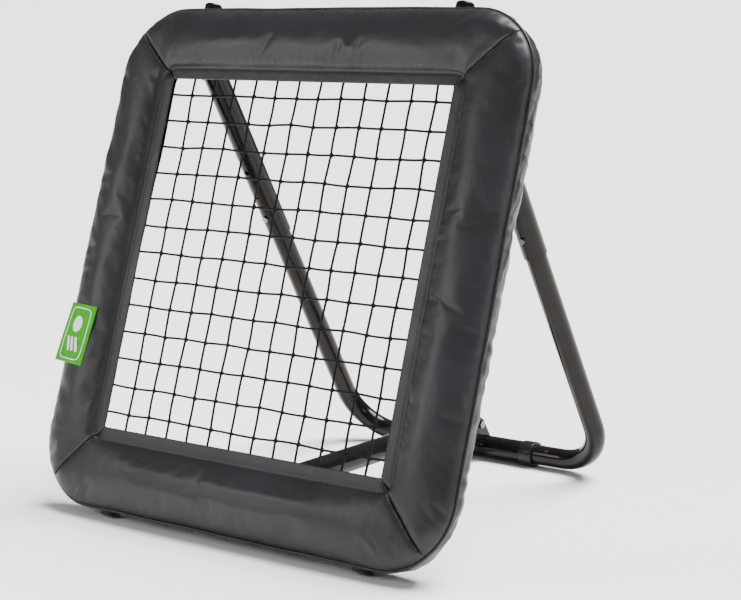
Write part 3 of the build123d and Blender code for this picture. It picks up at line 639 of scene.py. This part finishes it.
def sew(bm, start, end, radius):
    """One stitch: a small rounded prism between two points."""
    run = end - start
    turn = run.to_track_quat("Z", "Y").to_matrix().to_4x4()
    place = Matrix.Translation((start + end) / 2) @ turn
    made = bmesh.ops.create_icosphere(bm, subdivisions=1, radius=1.0)
    scale = Matrix.Diagonal((radius, radius, run.length * 0.56, 1))
    bmesh.ops.transform(bm, matrix=place @ scale, verts=made["verts"])


def sew_line(bm, tree, spots, pitch, radius):
    """Stitches along a line of (u, v) spots that lies on the cover."""
    reach = 0.0
    for (u0, v0), (u1, v1) in zip(spots, spots[1:]):
        length = math.hypot(u1 - u0, v1 - v0)
        while reach < length:
            a, b = reach / length, min(1.0, (reach + pitch * 0.68) / length)
            start = on_cover(tree, u0 + (u1 - u0) * a, v0 + (v1 - v0) * a)
            end = on_cover(tree, u0 + (u1 - u0) * b, v0 + (v1 - v0) * b)
            if start and end and (end - start).length > 0.3 * MM:
                sew(bm, start, end, radius)
            reach += pitch
        reach -= length


def mitre_spots(corner_u, corner_v, shift):
    """Spots along a mitre seam, shifted to one side of it."""
    spots = []
    side = "top" if corner_v > 0 else "bottom"
    t = corner_u if side == "top" else -corner_u
    steps = 24
    for i in range(steps + 1):
        b = 0.985 - 0.9 * i / steps
        here = Vector(ring_spot(side, t, front_ring(b)))
        ahead = Vector(ring_spot(side, t, front_ring(b - 0.01)))
        across = (ahead - here).normalized()
        spots.append((here.x - across.y * shift, here.y + across.x * shift))
    return spots


# ---- properties ------------------------------------------------------------------------------
class RebounderProperties(bpy.types.PropertyGroup):
    """Sizes and colours of the rebounder's looks."""

    cover_puff: FloatProperty(name="Cover puff", description="How far the stuffed faces stand up",
                              default=8.5 * MM, unit="LENGTH")
    cover_slack: FloatProperty(name="Cover slack", description="Spare cloth gathered in the sides",
                               default=0.07)
    net_unevenness: FloatProperty(name="Net unevenness", description="How far knots stray",
                                  default=1.6 * MM, unit="LENGTH")
    net_cord: FloatProperty(name="Net cord", description="Radius of the net's cord",
                            default=1.9 * MM, unit="LENGTH")
    cover_colour: FloatVectorProperty(name="Cover colour", description="Coated cloth",
                                      subtype="COLOR", default=(0.0125, 0.0125, 0.0145))
    tag_colour: FloatVectorProperty(name="Tag colour", description="Woven side tag",
                                    subtype="COLOR", default=(0.03, 0.30, 0.001))
    light_strength: FloatProperty(name="Light strength", description="Scales every studio light",
                                  default=1.0)


# ---- operators -------------------------------------------------------------------------------
class REBOUNDER_OT_cover(bpy.types.Operator):
    """Four stuffed cover panels"""
    bl_idname = "rebounder.cover"
    bl_label = "Cover panels"

    def execute(self, context):
        for side in SIDES:
            cover_panel(side)
        return {"FINISHED"}


MITRE_SHIFT = 3.2 * MM
MITRE_PITCH = 4.2 * MM
MITRE_THREAD_R = 0.38 * MM
EDGE_PITCH = 4.5 * MM
EDGE_THREAD_R = 0.4 * MM
EDGE_SPOTS = 40


class REBOUNDER_OT_stitching(bpy.types.Operator):
    """Twin stitching on the mitre seams and a row round the opening"""
    bl_idname = "rebounder.stitching"
    bl_label = "Stitching"

    def execute(self, context):
        panels = [bpy.data.objects[f"cover_{side}_panel"] for side in SIDES]
        tree = cover_tree(panels)
        bm = bmesh.new()
        for corner_u in (-1, 1):
            for corner_v in (-1, 1):
                for shift in (-MITRE_SHIFT, MITRE_SHIFT):
                    spots = mitre_spots(corner_u, corner_v, shift)
                    sew_line(bm, tree, spots, MITRE_PITCH, MITRE_THREAD_R)
        finish_piece(piece_from(bm, "mitre_stitching", finish("light_thread")), "net_frame",
                     "cover_cloth")
        bm = bmesh.new()
        ring = front_ring(1 - FLAP / BAND)
        for side in SIDES:
            spots = [ring_spot(side, -0.97 + 1.94 * i / EDGE_SPOTS, ring)
                     for i in range(EDGE_SPOTS + 1)]
            sew_line(bm, tree, spots, EDGE_PITCH, EDGE_THREAD_R)
        finish_piece(piece_from(bm, "opening_stitching", finish("dark_thread")), "net_frame",
                     "cover_cloth")
        return {"FINISHED"}


class REBOUNDER_OT_piping(bpy.types.Operator):
    """Piping cord along the front outer edge"""
    bl_idname = "rebounder.piping"
    bl_label = "Piping"

    def execute(self, context):
        path = []
        steps = 60
        for side in SIDES:
            for i in range(steps):
                t = -1 + 2 * i / steps
                u, v, _ = cover_spot(side, t, "front", 0.0)
                out = Vector((u, v - PAD / 2)).normalized() * 1.0 * MM
                path.append(at(u + out.x, v + out.y, 0.3 * MM))
        piping = cords_mesh("piping", [path], PIPING_R, finish("cover_cloth"), cyclic=True)
        finish_piece(piping, "net_frame", "cover_cloth", "cover_piping")
        return {"FINISHED"}


class REBOUNDER_OT_foam(bpy.types.Operator):
    """Foam slabs behind the cover's front faces"""
    bl_idname = "rebounder.foam"
    bl_label = "Foam slabs"

    def execute(self, context):
        columns, rows = 120, 10
        for side in SIDES:
            bm = bmesh.new()
            bmesh.ops.create_grid(bm, x_segments=columns, y_segments=rows, size=0.5)
            for vert in bm.verts:
                t = 2 * vert.co.x
                b = FOAM_START + FOAM_SPAN * (vert.co.y + 0.5)
                u, v = ring_spot(side, t * 0.998, front_ring(b))
                rough = noise.noise(Vector((u * 40, v * 40, 2.2))) * 0.8 * MM
                vert.co = at(u, v, FOAM_FACE + rough)
            cut = [f for f in bm.faces if side == "top"
                   and abs(abs(f.calc_center_median().x) - LEG_U) < SLOT_HALF]
            bmesh.ops.delete(bm, geom=cut, context="FACES")
            bmesh.ops.solidify(bm, geom=bm.faces, thickness=FOAM_THICK)
            bmesh.ops.recalc_face_normals(bm, faces=bm.faces)
            slab = piece_from(bm, f"foam_{side}_slab", finish("foam"), smooth=False)
            finish_piece(slab, "net_frame", "foam")
        return {"FINISHED"}


NET_W = 4 * MM
ROPE_HALF_U = 300 * MM
ROPE_LOW = 119 * MM
ROPE_HIGH = 731 * MM
UPRIGHTS = [(-245 + 45.45 * i) * MM for i in range(12)]
CROSSINGS = [(157 + 44.75 * i) * MM for i in range(13)]
KNOT_SIZE = (4.4 * MM, 3.5 * MM, 3.0 * MM)


class REBOUNDER_OT_net(bpy.types.Operator):
    """Knotted net and its border rope"""
    bl_idname = "rebounder.net"
    bl_label = "Net"

    def execute(self, context):
        draw = random.Random(SEED)
        stray = settings().net_unevenness
        knots = {(i, j): (u + draw.uniform(-stray, stray), v + draw.uniform(-stray, stray))
                 for i, u in enumerate(UPRIGHTS) for j, v in enumerate(CROSSINGS)}
        radius = settings().net_cord
        paths = []
        for i, u in enumerate(UPRIGHTS):
            spots = [(u, ROPE_LOW)] + [knots[i, j] for j in range(len(CROSSINGS))]
            paths.append(self.string(spots + [(u, ROPE_HIGH)], draw, 0.5 * radius))
        for j, v in enumerate(CROSSINGS):
            spots = [(-ROPE_HALF_U, v)] + [knots[i, j] for i in range(len(UPRIGHTS))]
            paths.append(self.string(spots + [(ROPE_HALF_U, v)], draw, -0.5 * radius))
        strings = cords_mesh("net_strings", paths, radius, finish("net_cord"), sides=2)
        finish_piece(strings, "net_frame", "net_cord", "net")
        bm = bmesh.new()
        for u, v in knots.values():
            spin = Matrix.Rotation(draw.uniform(0, math.pi), 4, "Z")
            size = draw.uniform(0.9, 1.1)
            made = bmesh.ops.create_icosphere(bm, subdivisions=2, radius=1.0)
            shape = Matrix.Diagonal((KNOT_SIZE[0] * size, KNOT_SIZE[1] * size, KNOT_SIZE[2], 1))
            axes = Matrix((Vector((1, 0, 0)), UP, OUT)).transposed().to_4x4()
            bmesh.ops.transform(bm, verts=made["verts"],
                                matrix=Matrix.Translation(at(u, v, NET_W)) @ axes @ spin @ shape)
        finish_piece(piece_from(bm, "net_knots", finish("net_cord")), "net_frame", "net_cord")
        self.border_rope()
        return {"FINISHED"}

    def string(self, spots, draw, offset):
        """Points of one string through its knots, with a little slack between them."""
        path = []
        for (u0, v0), (u1, v1) in zip(spots, spots[1:]):
            bow_u, bow_v, bow_w = (draw.uniform(-0.7, 0.7) * MM for _ in range(3))
            for share in (0.0, 0.08, 0.5, 0.92):
                bow = math.sin(math.pi * share)
                path.append(at(u0 + (u1 - u0) * share + bow_u * bow,
                               v0 + (v1 - v0) * share + bow_v * bow,
                               NET_W + offset + bow_w * bow))
        path.append(at(*spots[-1], NET_W + offset))
        return path

    def border_rope(self):
        """Laid rope round the net's edge, hidden behind the flap."""
        ring = (ROPE_HALF_U, ROPE_LOW, ROPE_HIGH, ROPE_CORNER_R)
        path = []
        steps = 48
        for side in SIDES:
            for i in range(steps):
                u, v = ring_spot(side, -1 + 2 * i / steps, ring)
                path.append(at(u, v, NET_W + noise.noise(Vector((u * 20, v * 20, 0))) * MM))
        rope = cords_mesh("net_rope", [path], ROPE_R, finish("net_cord"), cyclic=True)
        finish_piece(rope, "net_frame", "net_cord", "net_border_rope")


TAG_HIGH = 327 * MM
TAG_LOW = 227 * MM
TAG_IN = (-342 * MM, -354 * MM)
TAG_OUT = (-414 * MM, -429 * MM)
TAG_SAG = 5 * MM
TAG_WIDE = 74 * MM
TAG_TALL = TAG_HIGH - TAG_LOW
PRINT_LIFT = 0.35 * MM
FRAME_LINE = 1.7 * MM
BALL_R = 14 * MM
BALL_RISE = 16 * MM
BAR_SIZE = (6.2 * MM, 26 * MM)
BAR_PITCH = 11.5 * MM
BAR_DROP = 18 * MM
BAR_SLANT = 0.45


def tag_place(x, y):
    """(u, v) on the side tag: x from 0 at its sewn edge to 1 at its free edge, y up from 0 to 1."""
    inner = TAG_IN[1] + (TAG_IN[0] - TAG_IN[1]) * y
    outer = TAG_OUT[1] + (TAG_OUT[0] - TAG_OUT[1]) * y
    return inner + (outer - inner) * x, TAG_LOW + TAG_TALL * y - TAG_SAG * (1 - x)


def tag_heights(tree, stations=24):
    """How high the cover stands under the tag at each station across it."""
    heights = []
    for i in range(stations + 1):
        found = []
        for j in range(15):
            spot = on_cover(tree, *tag_place(i / stations, j / 14))
            if spot:
                found.append((spot - PAD_ORIGIN).dot(OUT))
        heights.append(max(found) if found and i / stations < 0.8 else heights[-1] - 0.8 * MM)
    smoothed = []
    for i in range(stations + 1):
        near = heights[max(0, i - 3):i + 4]
        smoothed.append(max(sum(near) / len(near), heights[i]) + 0.8 * MM)
    return smoothed


def tag_spot(heights, x, y, lift=0.0):
    """A point of the side tag, which lies on the cover and droops past its edge."""
    u, v = tag_place(x, y)
    reach = min(max(x, 0.0), 1.0) * (len(heights) - 1)
    low = min(int(reach), len(heights) - 2)
    w = heights[low] + (heights[low + 1] - heights[low]) * (reach - low)
    wave = (1 + math.sin(3.1 * y + 1.2 * x)) * 0.7 * MM * x
    return at(u, v, w + wave + lift)


class REBOUNDER_OT_side_tag(bpy.types.Operator):
    """Woven side tag with a plain printed motif"""
    bl_idname = "rebounder.side_tag"
    bl_label = "Side tag"

    def execute(self, context):
        bm = bmesh.new()
        bmesh.ops.create_grid(bm, x_segments=24, y_segments=30, size=0.5)
        uv = bm.loops.layers.uv.new("UVMap")
        for face in bm.faces:
            for loop in face.loops:
                loop[uv].uv = ((loop.vert.co.x + 0.5) * 0.06, (loop.vert.co.y + 0.5) * 0.1)
        heights = tag_heights(cover_tree([bpy.data.objects["cover_left_panel"]]))
        for vert in bm.verts:
            vert.co = tag_spot(heights, vert.co.x + 0.5, vert.co.y + 0.5)
        self.face_out(bm)
        bmesh.ops.solidify(bm, geom=bm.faces, thickness=CLOTH_THICK)
        bmesh.ops.recalc_face_normals(bm, faces=bm.faces)
        tag = piece_from(bm, "tag_ribbon", finish("tag_cloth"))
        finish_piece(tag, "net_frame", "tag_cloth", "side_tag")
        self.motif(heights)
        return {"FINISHED"}

    def face_out(self, bm):
        bmesh.ops.recalc_face_normals(bm, faces=bm.faces)
        bm.faces.ensure_lookup_table()
        if bm.faces[0].normal.dot(OUT) < 0:
            bmesh.ops.reverse_faces(bm, faces=bm.faces)

    def motif(self, heights):
        """A frame, a ball and three speed bars, printed on the ribbon."""
        bm = bmesh.new()
        made = bmesh.ops.create_circle(bm, cap_ends=True, segments=64, radius=1.0)
        for vert in made["verts"]:
            angle = math.atan2(vert.co.y, vert.co.x)
            power = 0.28
            x = math.copysign(abs(math.cos(angle)) ** power, math.cos(angle)) * 0.40
            y = math.copysign(abs(math.sin(angle)) ** power, math.sin(angle)) * 0.44
            vert.co = (x * TAG_WIDE, y * TAG_TALL, 0)
        inner = bmesh.ops.inset_region(bm, faces=bm.faces[:], thickness=FRAME_LINE,
                                       use_boundary=True, use_even_offset=True)
        ring_faces = set(inner["faces"])
        bmesh.ops.delete(bm, geom=[f for f in bm.faces if f not in ring_faces], context="FACES")
        place = Matrix.Translation((0.0, BALL_RISE, 0))
        bmesh.ops.create_circle(bm, cap_ends=True, segments=40, radius=BALL_R, matrix=place)
        slant = Matrix.Rotation(BAR_SLANT, 4, "Z")
        for i in (-1, 0, 1):
            place = Matrix.Translation((BAR_PITCH * i, -BAR_DROP, 0))
            bar = place @ slant @ Matrix.Diagonal((*BAR_SIZE, 1, 1))
            bmesh.ops.create_grid(bm, x_segments=1, y_segments=1, size=0.5, matrix=bar)
        bmesh.ops.triangulate(bm, faces=bm.faces)
        bmesh.ops.subdivide_edges(bm, edges=bm.edges, cuts=2, use_grid_fill=True)
        bmesh.ops.triangulate(bm, faces=bm.faces)
        for vert in bm.verts:
            x, y = 0.5 - vert.co.x / TAG_WIDE, 0.5 + vert.co.y / TAG_TALL
            vert.co = tag_spot(heights, x, y, PRINT_LIFT)
        self.face_out(bm)
        finish_piece(piece_from(bm, "tag_motif", finish("white_print")), "net_frame", "tag_cloth")


# (radius, height) points in mm, up the axis
FOOT_PROFILE = [(0, -10), (12.5, -10), (15.8, -9.2), (16.5, -8), (16.5, -6.6), (15.6, -6.0),
                (15.6, -4.6), (16.5, -4.0), (16.5, -1.2), (15.9, -0.4), (0, -0.4)]
CAP_PROFILE = [(0, 0.4), (13.6, 0.4), (14.3, 0.8), (14.5, 1.6), (14.5, 11.5), (14.2, 13.2),
               (13.2, 14.8), (11.6, 15.8), (9.5, 16.2), (0, 16.3)]


class REBOUNDER_OT_feet(bpy.types.Operator):
    """Rubber feet and glossy end caps"""
    bl_idname = "rebounder.feet"
    bl_label = "Feet and caps"

    def execute(self, context):
        for side, name in ((-1, "left"), (1, "right")):
            bm = bmesh.new()
            profile = [(r * MM, h * MM) for r, h in FOOT_PROFILE]
            lathe(bm, profile, at(side * FOOT_U, 0, STUD_W), UP)
            bmesh.ops.bisect_plane(bm, geom=bm.verts[:] + bm.edges[:] + bm.faces[:],
                                   plane_co=(0, 0, 0), plane_no=(0, 0, 1), clear_inner=True)
            rim = [edge for edge in bm.edges if edge.is_boundary]
            bmesh.ops.contextual_create(bm, geom=rim)
            bmesh.ops.recalc_face_normals(bm, faces=bm.faces)
            piece = piece_from(bm, f"rubber_foot_{name}", finish("foot_rubber"))
            finish_piece(piece, "net_frame", "foot_rubber", f"foot_{name}")
            bm = bmesh.new()
            profile = [(r * MM, h * MM) for r, h in CAP_PROFILE]
            lathe(bm, profile, at(side * CAP_U, PAD, STUD_W), UP)
            piece = piece_from(bm, f"end_cap_{name}", finish("black_paint"))
            finish_piece(piece, "net_frame", "black_plastic", f"top_cap_{name}")
        return {"FINISHED"}


COLLAR_BORE_R = 17.6 * MM
COLLAR_ROUND = 1.6 * MM


class REBOUNDER_OT_collars(bpy.types.Operator):
    """Plastic collars at the ends of the ground bar's sleeve"""
    bl_idname = "rebounder.collars"
    bl_label = "Sleeve collars"

    def execute(self, context):
        axis = Vector((1, 0, 0))
        bar = Vector(JOINTS["leg_swing"]["pos_m"])
        for side, name in ((-1, "left"), (1, "right")):
            low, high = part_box(f"sleeve_collar_{name}")
            length = high.x - low.x
            spot = Vector((low.x, bar.y, bar.z))
            bm = bmesh.new()
            outer = (high.z - low.z) / 2
            profile = rounded_profile(outer, COLLAR_BORE_R, 0, length, COLLAR_ROUND)
            lathe(bm, profile, spot, axis, steps=64)
            piece = piece_from(bm, f"collar_{name}", finish("black_plastic"))
            edge = piece.modifiers.new("Edge", "EDGE_SPLIT")
            edge.split_angle = math.radians(50)
            finish_piece(piece, "slider", "black_plastic", f"sleeve_collar_{name}")
        return {"FINISHED"}


SPRING_WIRE_R = 0.5 * MM
SPRING_TURNS = 5


class REBOUNDER_OT_lock_spring(bpy.types.Operator):
    """Coil spring of the lock, built at one fixed length; the real one shortens as the knob is pulled"""
    bl_idname = "rebounder.lock_spring"
    bl_label = "Lock spring"

    def execute(self, context):
        low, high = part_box("lock_spring")
        wire = SPRING_WIRE_R
        length = high.z - low.z - 2 * wire
        coil = (high.x - low.x) / 2 - wire - 0.1 * MM
        middle = Vector(((low.x + high.x) / 2, (low.y + high.y) / 2, low.z + wire))
        steps = 120
        bm = bmesh.new()
        face_along = Matrix.Rotation(math.radians(90), 4, "X")
        place = Matrix.Translation(middle + Vector((coil, 0, 0))) @ face_along
        made = bmesh.ops.create_circle(bm, segments=10, radius=wire, matrix=place)
        edges = list({edge for vert in made["verts"] for edge in vert.link_edges})
        bmesh.ops.spin(bm, geom=made["verts"] + edges, cent=middle, axis=(0, 0, 1),
                       dvec=(0, 0, length / steps), angle=2 * math.pi * SPRING_TURNS,
                       steps=steps)
        bmesh.ops.holes_fill(bm, edges=[edge for edge in bm.edges if edge.is_boundary])
        bmesh.ops.recalc_face_normals(bm, faces=bm.faces)
        spring = piece_from(bm, "coil_spring", finish("zinc"))
        finish_piece(spring, "base", "zinc", "lock_spring")
        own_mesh(spring)
        return {"FINISHED"}


class REBOUNDER_OT_finishes(bpy.types.Operator):
    """Paint, plating and plastic on the parts that keep their own shape"""
    bl_idname = "rebounder.finishes"
    bl_label = "Frame finishes"

    def execute(self, context):
        slots = {row["node"]: row["material_slot"] for row in frame["record"]["subparts"]}
        for name, node in frame["nodes"].items():
            slot = slots[name]
            node.data.materials.clear()
            node.data.materials.append(finish(slot))
        return {"FINISHED"}


SKY_STRENGTH = 0.25
AIM = Vector((0, 0, 0.35))
CAMERA_TURNS = (38.99, 9.64, -1.21)
CAMERA_PLACE = Vector((1990.9, -2085.6, 868.4)) * MM
CAMERA_LENS = 93.79


class REBOUNDER_OT_stage(bpy.types.Operator):
    """Pale floor, soft lights and camera"""
    bl_idname = "rebounder.stage"
    bl_label = "Stage"

    def execute(self, context):
        bm = bmesh.new()
        bmesh.ops.create_circle(bm, cap_ends=True, segments=96, radius=FLOOR_R)
        ground = Finish("pale_floor", (0.9, 0.9, 0.9), 0.6, specular_ior_level=0.1)
        floor = piece_from(bm, "floor", ground.material)
        world = bpy.data.worlds.new("pale_room")
        world.use_nodes = True
        back = world.node_tree.nodes["Background"]
        strength = settings().light_strength
        back.inputs["Color"].default_value = (1, 1, 1, 1)
        back.inputs["Strength"].default_value = SKY_STRENGTH * strength
        context.scene.world = world
        self.lamp(context, "overhead", "SUN", (0.7, 0.9, 3.0), 11.0 * strength, math.radians(40))
        self.lamp(context, "front_softbox", "AREA", (-2.3, -3.0, 1.7), 55 * strength, 1.5)
        self.lamp(context, "right_softbox", "AREA", (3.0, -1.2, 1.6), 14 * strength, 0.5)
        self.camera(context)
        return {"FINISHED"}

    def lamp(self, context, name, kind, place, power, width):
        """A soft light that faces the rebounder; a sun's width is its angle."""
        data = bpy.data.lights.new(name, kind)
        data.energy = power
        if kind == "SUN":
            data.angle = width
        else:
            data.shape = "DISK"
            data.size = width
        made = bpy.data.objects.new(name, data)
        made.location = place
        aim = AIM - Vector(place)
        made.rotation_euler = aim.to_track_quat("-Z", "Y").to_euler()
        context.scene.collection.objects.link(made)

    def camera(self, context):
        """A long lens in front, to the right and a little above."""
        azimuth, elevation, roll = (math.radians(turn) for turn in CAMERA_TURNS)
        back = Vector((math.sin(azimuth) * math.cos(elevation),
                       -math.cos(azimuth) * math.cos(elevation), math.sin(elevation)))
        right = Vector((math.cos(azimuth), math.sin(azimuth), 0))
        up = back.cross(right)
        tilted_right = right * math.cos(roll) + up * math.sin(roll)
        tilted_up = up * math.cos(roll) - right * math.sin(roll)
        turn = Matrix((tilted_right, tilted_up, back)).transposed().to_4x4()
        data = bpy.data.cameras.new("camera")
        data.lens = CAMERA_LENS
        data.clip_end = 2.4 * FLOOR_R
        camera = bpy.data.objects.new("camera", data)
        stand = CAMERA_PLACE + Vector((0, PAD_ORIGIN.y, 0))
        camera.matrix_world = Matrix.Translation(stand) @ turn
        context.scene.collection.objects.link(camera)
        context.scene.camera = camera


PIECE_OPERATORS = (REBOUNDER_OT_cover, REBOUNDER_OT_stitching, REBOUNDER_OT_piping,
                   REBOUNDER_OT_foam, REBOUNDER_OT_net, REBOUNDER_OT_side_tag, REBOUNDER_OT_feet,
                   REBOUNDER_OT_collars, REBOUNDER_OT_lock_spring, REBOUNDER_OT_finishes,
                   REBOUNDER_OT_stage)


class REBOUNDER_PT_panel(bpy.types.Panel):
    """Lists the rebounder's pieces"""
    bl_idname = "REBOUNDER_PT_panel"
    bl_label = "Pitch Back Rebounder"
    bl_space_type = "VIEW_3D"
    bl_region_type = "UI"
    bl_category = "Rebounder"

    def draw(self, context):
        values = context.scene.rebounder
        for name in RebounderProperties.__annotations__:
            self.layout.prop(values, name)
        for operator in PIECE_OPERATORS:
            self.layout.operator(operator.bl_idname)


CLASSES = (RebounderProperties, *PIECE_OPERATORS, REBOUNDER_PT_panel)


def register():
    for cls in CLASSES:
        bpy.utils.register_class(cls)
    bpy.types.Scene.rebounder = PointerProperty(type=RebounderProperties)


def unregister():
    del bpy.types.Scene.rebounder
    for cls in reversed(CLASSES):
        bpy.utils.unregister_class(cls)


def main():
    register()
    for operator in PIECE_OPERATORS:
        group, name = operator.bl_idname.split(".")
        getattr(getattr(bpy.ops, group), name)()


if __name__ == "__main__":
    main()
